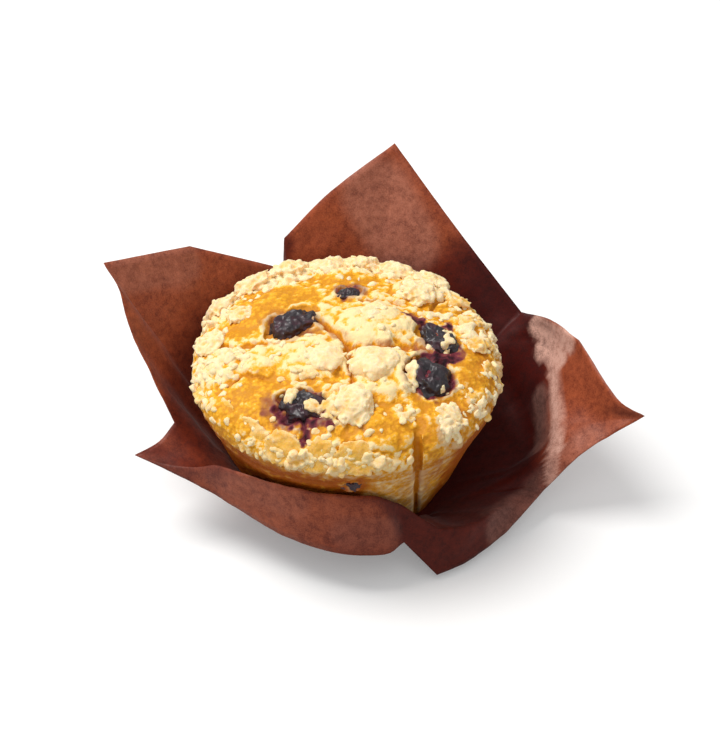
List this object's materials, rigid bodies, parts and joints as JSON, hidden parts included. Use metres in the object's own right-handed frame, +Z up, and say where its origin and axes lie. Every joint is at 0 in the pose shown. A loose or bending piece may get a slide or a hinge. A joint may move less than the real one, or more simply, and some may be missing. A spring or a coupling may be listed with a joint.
{
  "type": "blueberry streusel muffin",
  "caption": "Round domed muffin with blueberries and streusel lumps, standing in an opened brown paper tulip wrapper; food to set on a plate or table.",
  "frame": {"origin": "centre of the paper wrapper's flat foot, on the surface the muffin stands on", "axes": "+Z up through the muffin; -Y towards the front, where the paper is folded outwards; +X towards the right-hand paper corner"},
  "size_m": [0.1393, 0.103, 0.0671],
  "materials": {
    "baking_paper": "matt with a faint sheen",
    "cake_crumb": "matt, porous",
    "blueberry": "satin, wrinkled",
    "streusel": "matt, crumbly"
  },
  "bodies": {
    "root": {"wrapper": "baking_paper", "cake": "cake_crumb", "blueberry_back": "blueberry", "blueberry_back_left": "blueberry", "blueberry_front_left": "blueberry", "blueberry_right": "blueberry", "blueberry_right_back": "blueberry", "blueberry_side": "blueberry", "streusel_01": "streusel", "streusel_02": "streusel", "streusel_03": "streusel", "streusel_04": "streusel", "streusel_05": "streusel", "streusel_06": "streusel", "streusel_07": "streusel", "streusel_08": "streusel", "streusel_09": "streusel", "streusel_10": "streusel", "streusel_11": "streusel", "streusel_12": "streusel", "streusel_13": "streusel", "streusel_14": "streusel", "streusel_15": "streusel", "streusel_16": "streusel", "streusel_17": "streusel", "streusel_18": "streusel", "streusel_19": "streusel", "streusel_20": "streusel", "streusel_21": "streusel", "streusel_22": "streusel", "streusel_23": "streusel", "streusel_24": "streusel", "streusel_25": "streusel", "streusel_26": "streusel", "streusel_27": "streusel", "streusel_28": "streusel"}
  },
  "joints": []
}
